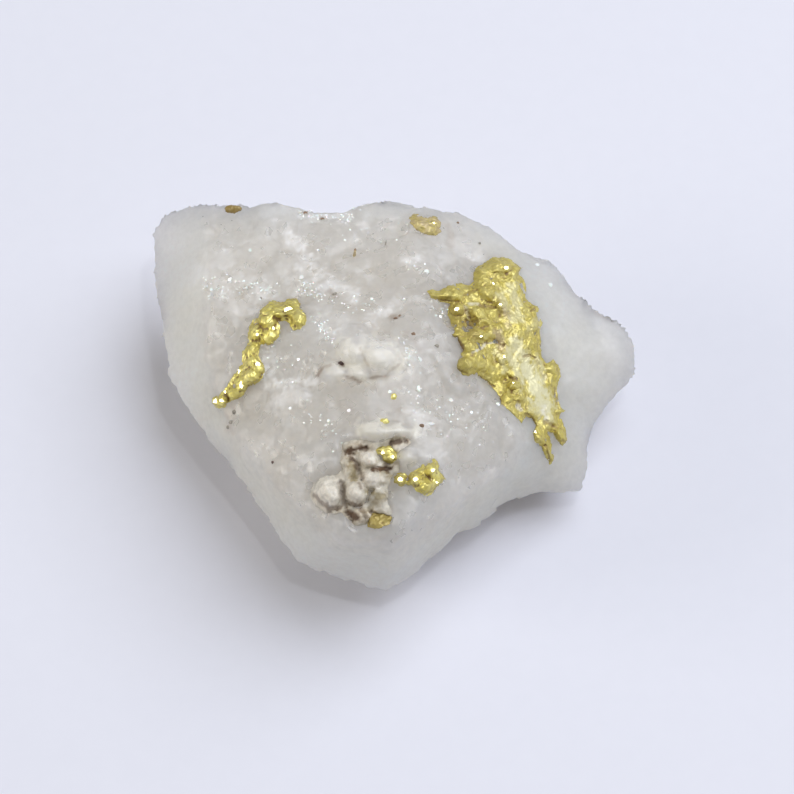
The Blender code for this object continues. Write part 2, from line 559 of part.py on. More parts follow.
def main():
    for obj in list(bpy.data.objects):
        bpy.data.objects.remove(obj)
    specimen = collection("gold_in_quartz")
    cutters = collection("cutters")
    quartz_stuff = material("milky_quartz", (0.62, 0.61, 0.58), 0.35)
    gold_stuff = material("native_gold", (0.80, 0.62, 0.20), 0.28, metallic=1.0)
    rust_stuff = material("iron_stained_quartz", (0.38, 0.30, 0.20), 0.7)

    chunk = make_chunk()
    surface = BVHTree.FromBMesh(chunk)

    def gold(name, outline, spacing, face, grains, pits, depth):
        mass = pillow(surface, outline, spacing, gold_rise(face, grains, pits), even(depth))
        return piece(name, mass, gold_stuff, specimen)

    floor = pillow(surface, HOLLOW, CRUST_SPACING, crust_rise, even(CRUST_DEPTH))
    crust = piece("hollow_crust", floor, rust_stuff, specimen)
    in_hollow = [gold(name, *table) for name, table in IN_HOLLOW.items()]
    on_crown = [gold(name, *table) for name, table in ON_CROWN.items()]
    on_crown.append(piece("gold_edge_flake", grain(*EDGE_FLAKE), gold_stuff, specimen))
    quartz = piece("quartz", chunk, quartz_stuff, specimen, smooth=False)
    for filling in in_hollow:
        cut_socket(crust, filling, cutters)
    for filling in [crust, *in_hollow, *on_crown]:
        cut_socket(quartz, filling, cutters)
    centre_on_origin([*specimen.objects, *cutters.objects], [quartz])


main()
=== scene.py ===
"""The looks of the gold in quartz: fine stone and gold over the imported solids, on a pale table."""

import math
import random

import bmesh
import bpy
import numpy as np
from mathutils import Matrix, Vector, noise
from mathutils.bvhtree import BVHTree


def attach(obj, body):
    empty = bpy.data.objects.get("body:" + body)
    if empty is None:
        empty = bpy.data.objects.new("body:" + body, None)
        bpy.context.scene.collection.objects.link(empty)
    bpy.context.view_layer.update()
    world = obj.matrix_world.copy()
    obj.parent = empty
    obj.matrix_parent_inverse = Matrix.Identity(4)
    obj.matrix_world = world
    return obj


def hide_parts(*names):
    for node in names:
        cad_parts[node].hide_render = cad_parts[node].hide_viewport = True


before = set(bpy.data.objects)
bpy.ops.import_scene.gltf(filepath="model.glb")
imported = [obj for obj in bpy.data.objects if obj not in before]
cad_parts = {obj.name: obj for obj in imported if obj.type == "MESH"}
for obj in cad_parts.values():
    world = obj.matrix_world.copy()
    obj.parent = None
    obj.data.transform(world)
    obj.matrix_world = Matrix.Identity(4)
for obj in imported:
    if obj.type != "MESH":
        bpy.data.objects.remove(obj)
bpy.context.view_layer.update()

MM = 0.001
SIGHT_ANGLE = math.radians(58)  # above the table
SIGHT_HEIGHT = 5.0  # mm, how high the tables' origin lies
SHIFT = np.array((-0.0436, -0.0252, 0.0))  # mm, from the tables' origin to the row frame's
TOWARD = Vector((0, -math.cos(SIGHT_ANGLE), math.sin(SIGHT_ANGLE)))
UP_WAY = Vector((0, math.sin(SIGHT_ANGLE), math.cos(SIGHT_ANGLE)))
GLINT_LIGHT = Vector((0.06, -0.09, 0.42))  # the small bright light, in metres
PICTURE = 794  # dots across the square picture
DOT = 0.054  # mm in the plane of sight for each of them
CAMERA_DISTANCE = 0.300
SENSOR = 36

# The tables lay the display side out in (across, up), in mm, square to the line of sight.

# The outline of the crown, where the stone's broken top is rough and sugary.
CROWN = (
    (-10.2, 9.6), (3.8, 9.4), (5.2, 6.6), (4.3, 3.5), (4.2, 1.1), (5.6, -0.5), (6.7, -2.3), (5.9, -3.5),
    (2.4, -6.3), (0.1, -7.8), (-2.8, -7.6), (-5.0, -6.0), (-7.0, -3.8), (-8.5, -1.8), (-9.6, 0.6),
    (-10.0, 3.0), (-9.8, 5.7),
)

# Strokes of colour: (across, up) of both ends, half width, strength. These are in the quartz.
WHITE = (
    (-5.78, 8.80, -4.43, 7.24, 0.43, 0.9), (-4.81, 6.91, -3.46, 6.16, 0.54, 0.8),
    (-3.46, 6.16, -2.11, 5.29, 0.43, 0.7), (-10.31, 6.32, -9.02, 5.67, 0.70, 0.45),
    (-6.59, 1.84, -6.59, 0.76, 0.43, 0.8), (-6.43, 0.59, -5.56, 0.59, 0.38, 0.8),
    (-5.13, 0.81, -4.27, 0.81, 0.27, 0.7), (-4.10, 3.46, -2.81, 3.46, 0.38, 0.6),
    (0.59, 7.24, 1.35, 7.24, 0.32, 0.7), (-1.57, 9.72, -1.57, 9.07, 0.32, 0.5),
    (-1.30, 4.21, 0.16, 5.08, 0.32, 0.5), (4.32, 7.45, 4.75, 7.45, 0.22, 0.7),
    (0.05, 2.75, 0.97, 1.51, 0.32, 0.45), (-5.08, 9.83, -2.48, 9.72, 0.32, 0.5),
    (0.97, 3.29, 1.84, 2.38, 0.16, 0.6), (-7.13, 10.04, -6.10, 10.15, 0.32, 0.3),
    (2.48, 6.91, 4.10, 5.18, 0.27, 0.25), (-9.67, 3.56, -9.13, 2.48, 0.32, 0.25),
    (-7.78, 5.18, -7.13, 4.54, 0.32, 0.4), (-2.92, 7.24, -1.19, 6.26, 0.27, 0.35),
    (-8.3, 6.3, -6.5, 5.5, 0.7, 0.5), (-0.86, 2.5, -0.4, 2.1, 0.6, 0.6), (-4.0, 4.6, -3.0, 3.9, 0.5, 0.4),
    (-5.9, 6.6, -5.2, 5.9, 0.4, 0.45), (-9.6, 7.6, -8.8, 6.9, 0.5, 0.3),
    (-6.2, -0.6, -5.2, -1.6, 0.4, 0.35),
)
CREAM = (
    (-1.62, -1.78, -0.32, -1.73, 0.43, 1.0), (-0.32, -1.73, 1.03, -1.89, 0.38, 1.0),
    (-1.24, 2.16, 0.00, 1.94, 0.92, 1.0), (-2.48, 2.59, -1.84, 1.30, 0.65, 0.9),
    (-3.35, 1.35, -2.92, 1.08, 0.45, 0.8), (0.32, -3.13, 0.86, -3.29, 0.32, 0.7),
)
# Brown strokes: iron stains and specks; round the white knobs' left and lower edges and between their
# lobes, partly painted shade.
STAIN_AND_SHADE = (
    (-4.05, 1.08, -3.78, 1.46, 0.1, 0.7), (-3.78, 1.51, -3.35, 1.62, 0.08, 0.4),
    (-2.54, 1.03, -1.73, 0.7, 0.09, 0.6), (-1.3, 0.92, -0.4, 1.1, 0.08, 0.5),
    (-2.9, 1.8, -2.78, 1.68, 0.12, 0.9), (-1.78, 2.5, -1.4, 1.6, 0.1, 0.3),
    (-0.4, 1.2, 0.3, 1.7, 0.08, 0.3), (-3.46, 5.62, -3.02, 5.35, 0.12, 0.4),
    (-0.11, 4.16, 0.27, 4.21, 0.12, 0.5), (0.76, 3.4, 1.51, 2.48, 0.27, 0.22),
    (-8.69, -0.76, -8.75, -1.73, 0.32, 0.2), (0.05, -0.38, 0.32, -0.76, 0.32, 0.25),
    (2.92, 9.23, 3.13, 8.15, 0.22, 0.25), (1.94, -1.35, 2.27, -1.62, 0.16, 0.3),
    (-5.08, 9.94, -4.75, 9.88, 0.14, 0.4), (-4.0, 9.67, -3.73, 9.61, 0.14, 0.4),
    (0.11, -2.0, 0.32, -2.43, 0.16, 0.3), (-2.65, -0.49, -2.27, -0.86, 0.32, 0.12),
    (-0.22, 0.22, 0.22, -0.22, 0.32, 0.15),
)

# Small facets of quartz that catch the bright light: (across, up, half width, half height).
GLINTS = (
    (-4.97, 6.37, 0.22, 0.22), (1.78, 6.70, 0.22, 0.22), (1.30, 0.38, 0.22, 0.43),
    (3.02, -0.22, 0.22, 0.22), (1.94, -1.46, 0.49, 0.16), (5.51, -0.43, 0.22, 0.22),
    (-5.51, -0.65, 0.16, 0.16), (-2.38, -0.76, 0.22, 0.16), (8.48, 6.05, 0.27, 0.22),
    (7.78, 7.13, 0.22, 0.16), (-4.10, 7.88, 0.16, 0.16), (-2.65, 8.42, 0.16, 0.11),
    (-7.13, 3.56, 0.16, 0.22), (-5.08, 1.94, 0.16, 0.16), (-1.19, 5.18, 0.16, 0.16),
    (0.54, 5.18, 0.16, 0.16), (2.48, 4.21, 0.16, 0.22), (1.40, 1.94, 0.16, 0.22),
    (-7.78, 7.88, 0.16, 0.16), (-8.86, 6.26, 0.16, 0.16), (-9.83, 5.72, 0.16, 0.16),
    (-0.22, 0.22, 0.22, 0.16), (4.10, -0.86, 0.16, 0.16), (-3.46, -1.30, 0.16, 0.16),
    (4.64, 6.26, 0.16, 0.16),
)

GLINT_SHARE = 0.62  # of those sizes that shines
FACET_LIFT = 0.05  # mm that a facet stands off the surface
FACET_DEPTH = 0.12  # mm that its foot lies under it

# The same on the gold.
GOLD_GLINTS = (
    (3.35, 4.64, 0.14, 0.12), (5.72, 4.91, 0.10, 0.08), (6.05, 6.91, 0.13, 0.09),
    (4.64, 3.19, 0.10, 0.07), (5.89, 2.11, 0.07, 0.09), (6.37, 0.70, 0.07, 0.07),
    (7.56, -1.94, 0.07, 0.11), (5.35, 6.05, 0.07, 0.07), (-9.55, -0.27, 0.15, 0.13),
    (-9.18, -0.24, 0.13, 0.11), (-9.02, 0.22, 0.10, 0.09), (-8.15, 0.59, 0.12, 0.20),
    (-7.24, 1.67, 0.14, 0.16), (-8.26, 1.30, 0.06, 0.14), (-5.62, 4.59, 0.24, 0.20),
    (-7.29, 3.29, 0.09, 0.09), (-6.43, 3.60, 0.06, 0.14), (0.32, -4.37, 0.15, 0.13),
    (1.13, -4.37, 0.14, 0.11), (2.05, -3.89, 0.11, 0.11), (2.21, -4.54, 0.14, 0.07),
    (-0.59, -2.97, 0.10, 0.10), (-0.05, -3.19, 0.08, 0.10), (2.16, 9.34, 0.08, 0.06),
)

# White knobs on the crown: (across, up, half width, half height, rise).
KNOBS = (
    (-0.7, 2.35, 1.0, 0.86, 0.38), (-2.2, 2.65, 0.86, 1.0, 0.32), (-2.05, 1.13, 0.76, 0.43, 0.24),
    (-3.29, 1.24, 0.7, 0.59, 0.34), (-0.32, -1.73, 1.46, 0.38, 0.24), (0.76, -3.19, 0.49, 0.54, 0.26),
)

# Sugary places, full of tiny facets: (across, up) of both ends, half width, how many facets.
SUGAR = (
    (-5.08, 6.05, -3.89, 5.29, 0.43, 22), (-8.53, 6.16, -6.37, 5.51, 0.54, 26),
    (-5.08, 9.88, -2.38, 9.61, 0.32, 30), (-4.1, 4.0, -3.24, 2.92, 0.49, 18),
    (0.43, 2.92, 1.08, 1.73, 0.38, 16), (0.59, 7.24, 1.67, 6.7, 0.32, 10),
    (0.32, 0.05, 3.56, -1.57, 1.19, 22), (-5.08, -0.49, -2.65, -2.38, 0.86, 14),
    (-10.21, 6.1, -8.96, 5.62, 0.65, 16), (-2.92, 5.29, -1.19, 4.54, 0.54, 12),
    (-7.51, 3.56, -5.08, 0.32, 1.19, 14), (1.94, 5.18, 3.29, 4.1, 0.54, 8),
    (3.29, 0.05, 5.72, -2.38, 1.19, 8), (-2.38, 9.23, 1.4, 8.42, 0.97, 12),
)

# Grains held in the quartz: (across, up, half width, half height, turn, colour).
SPECKS = (
    (-2.13, 7.56, 0.09, 0.3, -0.12, "ochre"), (-2.1, 7.83, 0.07, 0.13, -0.1, "brown"),
    (-0.46, 8.15, 0.04, 0.26, -0.15, "grey"), (4.64, 8.26, 0.08, 0.08, 0, "grey"),
    (0.32, 4.27, 0.08, 0.07, 0, "brown"), (0.08, 4.13, 0.12, 0.08, 0.3, "brown"),
    (-6.43, -3.51, 0.07, 0.08, 0, "dark"), (-4.81, 9.94, 0.11, 0.09, 0, "brown"),
    (-3.89, 9.61, 0.12, 0.08, 0, "brown"), (3.46, 9.4, 0.09, 0.07, 0, "brown"),
    (-3.19, 5.45, 0.16, 0.08, 0.5, "grey"), (1.03, 3.29, 0.12, 0.09, 0, "brown"),
    (2.27, 2.65, 0.13, 0.11, 0, "grey"), (1.46, -1.57, 0.12, 0.1, 0, "brown"),
    (-8.53, -0.86, 0.12, 0.12, 0, "grey"), (-8.69, -1.4, 0.13, 0.11, 0, "grey"),
    (-8.86, -1.67, 0.11, 0.1, 0, "grey"), (-2.81, 1.7, 0.15, 0.14, 0, "dark"),
    (-7.13, 5.24, 0.05, 0.08, 0, "grey"), (-0.49, -1.35, 0.24, 0.16, 0, "gold"),
    (0.0, -0.05, 0.16, 0.19, 0, "gold"), (3.02, 4.75, 0.06, 0.06, 0, "brown"),
)
SPECK_COLOURS = {
    "dark": (0.06, 0.035, 0.03),
    "brown": (0.17, 0.11, 0.07),
    "grey": (0.23, 0.21, 0.18),
    "ochre": (0.34, 0.27, 0.15),
}

# The colour of the hollow's crust, and strokes of colour on it.
CRUST_COLOUR = (0.66, 0.62, 0.53)
CRUST_PALE = (
    (-1.62, -3.19, -0.86, -3.62, 0.32, 1.0), (-1.35, -4.32, -0.92, -4.43, 0.43, 0.85),
    (-3.73, -5.08, -3.24, -5.24, 0.59, 0.9), (-2.16, -4.97, -1.89, -5.08, 0.38, 0.8),
    (-2.92, -4.59, -2.65, -4.32, 0.27, 0.5), (0.32, -2.86, 0.76, -3.46, 0.38, 0.7),
    (-0.7, -5.62, -0.43, -5.89, 0.27, 0.3), (-3.46, -5.67, -3.73, -5.45, 0.32, 0.6),
)
CRUST_DARK = (
    (-2.38, -2.86, -1.51, -2.7, 0.16, 0.95), (-2.32, -3.02, -2.16, -3.35, 0.22, 0.9),
    (-2.11, -3.4, -1.78, -3.94, 0.16, 0.6), (-1.08, -3.83, -0.11, -3.83, 0.14, 0.95),
    (-0.11, -2.48, 0.65, -2.38, 0.16, 0.8), (-4.16, -5.24, -3.4, -5.94, 0.14, 0.6),
    (-3.4, -5.94, -2.81, -5.89, 0.16, 0.6), (-2.75, -4.54, -2.59, -5.62, 0.22, 0.5),
    (-2.32, -5.67, -1.73, -5.72, 0.14, 0.6), (-2.38, -6.05, -2.0, -6.37, 0.24, 0.95),
    (-1.73, -5.94, -1.4, -6.37, 0.16, 0.5), (-1.24, -6.1, -1.08, -6.26, 0.14, 0.7),
    (-0.43, -3.62, -0.32, -4.0, 0.16, 0.6), (-1.84, -4.59, -1.73, -4.86, 0.11, 0.5),
    (-1.78, -3.94, -1.62, -4.32, 0.14, 0.6),
)
CRUST_OLIVE = (
    (-2.27, -3.35, -2.11, -4.32, 0.24, 0.7), (-1.51, -5.02, -0.86, -5.18, 0.16, 0.7),
    (-0.86, -5.29, -0.54, -5.24, 0.22, 0.7), (-1.03, -5.62, -0.76, -5.51, 0.19, 0.4),
    (-1.51, -6.16, -1.19, -5.89, 0.22, 0.4), (-0.54, -4.0, -0.11, -4.21, 0.19, 0.5),
    (-3.13, -3.56, -3.35, -3.24, 0.16, 0.2),
)

# Lumps of the gold: (across, up, half width, half height, rise).
LEAF_GRAINS = (
    (5.63, 7.12, 1.0, 0.45, 0.14), (4.63, 6.52, 0.6, 0.55, 0.12), (6.08, 6.92, 0.26, 0.24, 0.2),
    (5.13, 5.52, 0.6, 0.45, 0.16), (2.63, 5.42, 0.75, 0.26, 0.1), (3.38, 4.62, 0.4, 0.32, 0.24),
    (4.63, 4.47, 0.6, 0.32, 0.18), (5.75, 4.92, 0.28, 0.24, 0.22), (5.23, 4.37, 0.4, 0.36, 0.1),
    (4.53, 3.22, 0.62, 0.4, 0.22), (3.63, 2.82, 0.3, 0.34, 0.14), (5.13, 3.42, 0.36, 0.3, 0.12),
    (3.78, 1.72, 0.44, 0.4, 0.22), (4.43, 1.82, 0.6, 0.36, 0.08), (5.83, 2.02, 0.4, 0.34, 0.18),
    (4.93, 1.62, 0.5, 0.34, 0.08), (6.43, 0.62, 0.4, 0.3, 0.18), (6.73, 0.07, 0.38, 0.34, 0.2),
    (6.03, -0.08, 0.34, 0.3, 0.14), (6.83, 3.42, 0.44, 0.4, 0.08), (7.53, 2.82, 0.4, 0.34, 0.1),
    (7.53, 3.92, 0.3, 0.26, 0.08), (7.13, 4.42, 0.3, 0.4, 0.06), (7.53, 4.72, 0.2, 0.16, 0.1),
    (6.33, 1.22, 0.24, 0.22, 0.12), (7.73, -1.98, 0.24, 0.4, 0.16), (8.13, -3.08, 0.22, 0.4, 0.12),
    (9.03, -2.18, 0.36, 0.44, 0.16), (8.53, -1.58, 0.34, 0.26, 0.1), (8.53, 1.52, 0.36, 0.28, 0.08),
    (7.33, -1.08, 0.3, 0.24, 0.12), (7.03, -0.88, 0.26, 0.2, 0.1), (6.63, 6.42, 0.3, 0.7, 0.05),
    (5.58, -0.28, 0.3, 0.2, 0.1), (6.58, 6.92, 0.26, 0.18, 0.08),
)
VEIN_GRAINS = (
    (-9.61, -0.27, 0.22, 0.22, 0.20), (-9.18, -0.27, 0.32, 0.32, 0.29), (-8.59, 0.11, 0.35, 0.35, 0.31),
    (-8.15, 0.65, 0.40, 0.40, 0.36), (-7.61, 1.03, 0.46, 0.46, 0.40), (-7.24, 1.46, 0.38, 0.43, 0.34),
    (-7.56, 1.89, 0.38, 0.35, 0.31), (-7.72, 2.38, 0.32, 0.35, 0.29), (-7.45, 2.59, 0.27, 0.32, 0.24),
    (-7.40, 3.40, 0.43, 0.43, 0.38), (-6.70, 3.24, 0.46, 0.49, 0.40), (-6.80, 4.00, 0.54, 0.49, 0.42),
    (-6.53, 4.59, 0.65, 0.49, 0.42), (-6.05, 4.54, 0.38, 0.38, 0.34), (-5.56, 4.59, 0.38, 0.38, 0.34),
    (-5.29, 4.97, 0.38, 0.32, 0.29), (-5.08, 4.16, 0.38, 0.49, 0.34),
)
NUGGET_GRAINS = (
    (0.32, -4.37, 0.30, 0.30, 0.42), (1.13, -4.37, 0.38, 0.38, 0.45), (2.05, -3.89, 0.43, 0.43, 0.45),
    (1.73, -4.70, 0.49, 0.43, 0.42), (2.27, -4.37, 0.38, 0.38, 0.35),
)

# Strokes of colour on the sheet of gold.
# Dark strokes: brown stains and pits, and painted shade in creases and under the white ribbon.
LEAF_DARK_SHADE_AND_STAIN = (
    (3.85, 4.05, 4.1, 3.7, 0.13, 0.9), (4.13, 3.92, 4.43, 4.02, 0.1, 0.6),
    (3.5, 3.9, 3.85, 4.0, 0.1, 0.4), (3.03, 3.17, 3.43, 2.82, 0.15, 1.0),
    (3.38, 3.02, 3.58, 2.52, 0.17, 0.95), (4.63, 4.87, 5.33, 4.77, 0.11, 0.7),
    (3.73, 5.42, 4.43, 5.72, 0.09, 0.5), (2.33, 5.12, 3.43, 5.07, 0.07, 0.5),
    (3.38, 1.42, 4.13, 1.07, 0.09, 0.5), (4.53, 1.02, 5.33, 0.52, 0.09, 0.7),
    (5.35, 2.95, 5.85, 2.72, 0.1, 0.7), (6.93, 2.12, 7.3, 2.2, 0.06, 0.6),
    (7.3, 2.2, 7.6, 2.05, 0.06, 0.6), (3.5, 4.3, 4.3, 3.3, 0.45, 0.3),
    (7.63, 2.02, 7.93, 1.22, 0.07, 0.25), (7.93, 1.22, 8.48, 0.52, 0.07, 0.25),
    (6.23, 0.97, 6.58, 0.92, 0.11, 0.8), (5.68, 4.42, 6.13, 4.42, 0.16, 0.4),
    (5.43, 3.62, 5.73, 2.82, 0.14, 0.45), (8.13, -1.38, 8.73, -1.68, 0.12, 0.55),
    (8.13, -2.68, 8.38, -3.48, 0.08, 0.6), (9.03, -2.38, 9.28, -2.48, 0.09, 0.6),
    (7.43, 4.62, 7.58, 4.72, 0.08, 0.6), (5.63, -0.18, 5.88, -0.48, 0.07, 0.4),
    (7.13, -0.98, 7.53, -1.33, 0.09, 0.5), (8.63, 0.42, 8.78, -0.38, 0.08, 0.5),
    (8.83, 1.52, 8.93, 1.12, 0.08, 0.5),
)
LEAF_WHITE = (
    (4.37, 2.40, 4.75, 2.59, 0.08, 0.7), (4.75, 2.59, 4.93, 2.83, 0.09, 0.7),
    (4.93, 2.83, 5.4, 2.85, 0.07, 0.6), (4.03, 4.92, 4.53, 4.97, 0.11, 0.45),
    (3.83, 4.72, 3.98, 4.22, 0.11, 0.35), (6.63, -0.48, 6.83, -0.68, 0.14, 0.6),
    (4.2, 2.34, 4.37, 2.4, 0.07, 0.5), (8.03, -0.58, 8.13, -1.18, 0.14, 0.5),
)
LEAF_STAIN = (
    (5.53, 3.42, 5.83, 2.52, 0.22, 0.5), (5.93, 4.62, 6.13, 3.72, 0.19, 0.35),
)
# Pale smooth places of the sheet: their own paler tone, and a painted sheen of the broad light.
LEAF_PALE_AND_SHEEN = (
    (7.13, 1.42, 8.13, -0.58, 0.59, 1.0), (6.53, 2.82, 7.33, 1.42, 0.38, 0.8),
    (7.73, 2.02, 8.03, 1.02, 0.22, 0.6), (6.33, 5.92, 6.73, 4.22, 0.32, 0.6),
    (5.73, 5.42, 6.33, 4.22, 0.32, 0.5), (6.13, 2.42, 6.73, 1.02, 0.27, 0.7),
    (5.43, 2.42, 5.93, 1.42, 0.22, 0.4), (7.33, 3.62, 7.83, 4.02, 0.27, 0.3),
    (7.53, -0.58, 8.33, -1.18, 0.32, 0.7),
)

GRAINS = {"gold_leaf": LEAF_GRAINS, "gold_vein": VEIN_GRAINS, "gold_nugget": NUGGET_GRAINS}
GOLD = (
    "gold_leaf",
    "gold_vein",
    "gold_back_patch",
    "gold_nugget",
    "gold_bead",
    "gold_low_flake",
    "gold_edge_flake",
)
DULLNESS = {"gold_edge_flake": 0.82, "gold_low_flake": 0.64, "gold_back_patch": 0.35}

# How much a copy of a CAD node grows, and how far it sinks: into the stone, and as a fine piece.
GOLD_BED = (0.12, 0.22)
CRUST_BED = (0.14, 0.12)
CRUST_SKIN = (0.14, -0.06)
GOLD_SKIN = (0.07, -0.03)

# Chips of the broken stone: the size in mm, and the steepness.
CROWN_CHIPS = ((1.6, 0.09), (0.7, 0.07))
EDGE_CHIPS = ((1.2, 0.28), (0.5, 0.18))
HIDDEN_CHIPS = (3.4, 0.22)

# The size of the fine meshes' faces, in mm, and their rounds of smoothing.
QUARTZ_MESH = (0.135, 4)
CRUST_MESH = (0.05, 3)
GOLD_MESH = (0.045, 3)

# Lights: name, place and size in metres, watts, colour.
LIGHTS = (
    ("window", (0.22, 0.10, 0.39), 0.44, 2.04, (0.89, 0.92, 1.0)),
    ("fill", (-0.37, -0.03, 0.12), 0.20, 0.50, (1.0, 0.96, 0.90)),
    ("lamp", GLINT_LIGHT, 0.020, 0.13, (1, 1, 1)),
)
STONE_MIDDLE = Vector((0, 0, 0.005))  # what they face
WORLD_COLOUR = (1.0, 0.97, 0.905)
WORLD_STRENGTH = 0.31


# ---------------------------------------------------------------- meshes


def solids(parts):
    """One bmesh, in mm, of copies of CAD nodes.

    Each part is (node, how much it grows, how far it sinks away from the viewer).
    """
    bm = bmesh.new()
    for node, grow, sink in parts:
        one = bmesh.new()
        one.from_mesh(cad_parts[node].data)
        bmesh.ops.remove_doubles(one, verts=one.verts, dist=1e-7)
        bmesh.ops.scale(one, vec=(1 / MM,) * 3, verts=one.verts)
        one.normal_update()
        for v in one.verts:
            v.co += v.normal * grow - TOWARD * sink
        mesh = bpy.data.meshes.new(node)
        one.to_mesh(mesh)
        one.free()
        bm.from_mesh(mesh)
        bpy.data.meshes.remove(mesh)
    return bm


def remeshed(name, bm, voxel, smoothing):
    """An object, in mm, of the bmesh's outside as even small faces."""
    mesh = bpy.data.meshes.new(name)
    bm.to_mesh(mesh)
    bm.free()
    obj = bpy.data.objects.new(name, mesh)
    bpy.context.scene.collection.objects.link(obj)
    voxels = obj.modifiers.new("voxels", "REMESH")
    voxels.mode = "VOXEL"
    voxels.voxel_size = voxel
    smooth = obj.modifiers.new("smooth", "SMOOTH")
    smooth.factor = 0.5
    smooth.iterations = smoothing
    bake(obj)
    return obj


def bake(obj):
    """Replaces an object's mesh with what its modifiers make of it."""
    evaluated = obj.evaluated_get(bpy.context.evaluated_depsgraph_get())
    obj.data = bpy.data.meshes.new_from_object(evaluated)
    obj.modifiers.clear()


def points_of(mesh):
    co = np.empty(len(mesh.vertices) * 3)
    mesh.vertices.foreach_get("co", co)
    return co.reshape(-1, 3)


def normals_of(mesh):
    normals = np.empty(len(mesh.vertices) * 3)
    mesh.vertex_normals.foreach_get("vector", normals)
    return normals.reshape(-1, 3)


def set_points(mesh, points):
    mesh.vertices.foreach_set("co", np.ascontiguousarray(points).ravel())
    mesh.update()


def keep_value(mesh, name, values):
    """Stores one number a point for the materials."""
    layer = mesh.attributes.new(name, "FLOAT", "POINT")
    layer.data.foreach_set("value", np.ascontiguousarray(values, dtype=np.float32))


def keep_colour(mesh, name, colours):
    """Stores one colour a point for the materials."""
    layer = mesh.attributes.new(name, "FLOAT_COLOR", "POINT")
    rgba = np.concatenate((colours, np.ones((len(colours), 1))), axis=1)
    layer.data.foreach_set("color", np.ascontiguousarray(rgba, dtype=np.float32).ravel())


def seen(points):
    """Where points in mm are seen, as across and up."""
    p = points - SHIFT
    up = p[:, 1] * math.sin(SIGHT_ANGLE) + (p[:, 2] - SIGHT_HEIGHT) * math.cos(SIGHT_ANGLE)
    return np.stack((p[:, 0], up), axis=1)


def from_segment(places, p, q):
    """The distance of places from a straight line between two points."""
    p, q = np.array(p, float), np.array(q, float)
    along = q - p
    share = np.clip(((places - p) @ along) / max(along @ along, 1e-9), 0, 1)
    return np.linalg.norm(places - p - share[:, None] * along, axis=1)


def signed(places, outline):
    """The distance of places from an outline, more than 0 inside."""
    nearest = np.full(len(places), 1e9)
    inside = np.zeros(len(places), bool)
    for p, q in zip(outline, outline[1:] + outline[:1]):
        nearest = np.minimum(nearest, from_segment(places, p, q))
        crosses = (p[1] > places[:, 1]) != (q[1] > places[:, 1])
        if q[1] != p[1]:
            meets = (q[0] - p[0]) * (places[:, 1] - p[1]) / (q[1] - p[1]) + p[0]
            inside ^= crosses & (places[:, 0] < meets)
    return np.where(inside, nearest, -nearest)


def step(low, high, values):
    """A smooth step from 0 at low to 1 at high."""
    t = np.clip((values - low) / (high - low), 0, 1)
    return t * t * (3 - 2 * t)


def painted(places, strokes, ragged, spread=1.0):
    """How strongly strokes of colour cover places, their edges made ragged by noise."""
    cover = np.zeros(len(places))
    for *ends, half_width, strength in strokes:
        away = from_segment(places, ends[:2], ends[2:]) / (spread * half_width) + 0.8 * ragged
        cover = np.maximum(cover, strength * (1 - step(0.2, 1.4, away)))
    return cover


def lumps(table, places, ragged, share=1.0):
    """How far round lumps stand up at places, as a share of the rises in their table."""
    height = np.zeros(len(places))
    for a, u, half_width, half_height, rise in table:
        reach = np.hypot((places[:, 0] - a) / half_width, (places[:, 1] - u) / half_height) + ragged
        height = np.maximum(height, share * rise * np.sqrt(np.clip(1 - reach**2, 0, 1)))
    return height


def cavity(mesh, rounds):
    """How far each point lies under the mean level of the surface round it."""
    points = points_of(mesh)
    edges = np.empty(len(mesh.edges) * 2, dtype=np.int32)
    mesh.edges.foreach_get("vertices", edges)
    ends = edges.reshape(-1, 2)
    starts = np.concatenate((ends[:, 0], ends[:, 1]))
    stops = np.concatenate((ends[:, 1], ends[:, 0]))
    count = np.maximum(np.bincount(starts, minlength=len(points)), 1)[:, None]
    level = points
    for _ in range(rounds):
        sums = [np.bincount(starts, level[stops, i], len(points)) for i in range(3)]
        level = np.stack(sums, axis=1) / count
    return ((level - points) * normals_of(mesh)).sum(axis=1)


def sampled(function, points):
    """A noise function of a Vector, at every point."""
    return np.array([function(Vector(p)) for p in points])


def chips(size, steepness):
    """A hackly fracture: each cell of space holds a small plane with a slope of its own."""

    def height(p):
        place = p / size
        centre = noise.voronoi(place)[1][0]
        tilt = noise.cell_vector(centre * 9.7) - Vector((0.5, 0.5, 0.5))
        return size * steepness * tilt.dot(place - centre)

    return height


def ridged(size, octaves=4, offset=0.0):
    """Noise with sharp ridges, about 0 to 2."""
    shift = Vector((offset, offset * 0.7, -offset))
    return lambda p: noise.ridged_multi_fractal(p / size + shift, 0.9, 2.1, octaves, 0.9, 2.0)


def fractal(size, octaves=4, offset=0.0):
    """Soft noise about 0, from -1 to 1."""
    shift = Vector((offset, offset * 0.7, -offset))
    return lambda p: noise.fractal(p / size + shift, 0.8, 2.1, octaves)


def finish_piece(obj, material, nodes):
    """Scales a piece back to metres, and hands it to the frame in place of its CAD nodes."""
    obj.data.transform(obj.matrix_world)
    set_points(obj.data, points_of(obj.data) * MM)
    obj.data.shade_smooth()
    obj.data.materials.clear()
    obj.data.materials.append(material)
    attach(obj, "root")
    if nodes:
        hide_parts(*nodes)
    return obj


# ---------------------------------------------------------------- materials


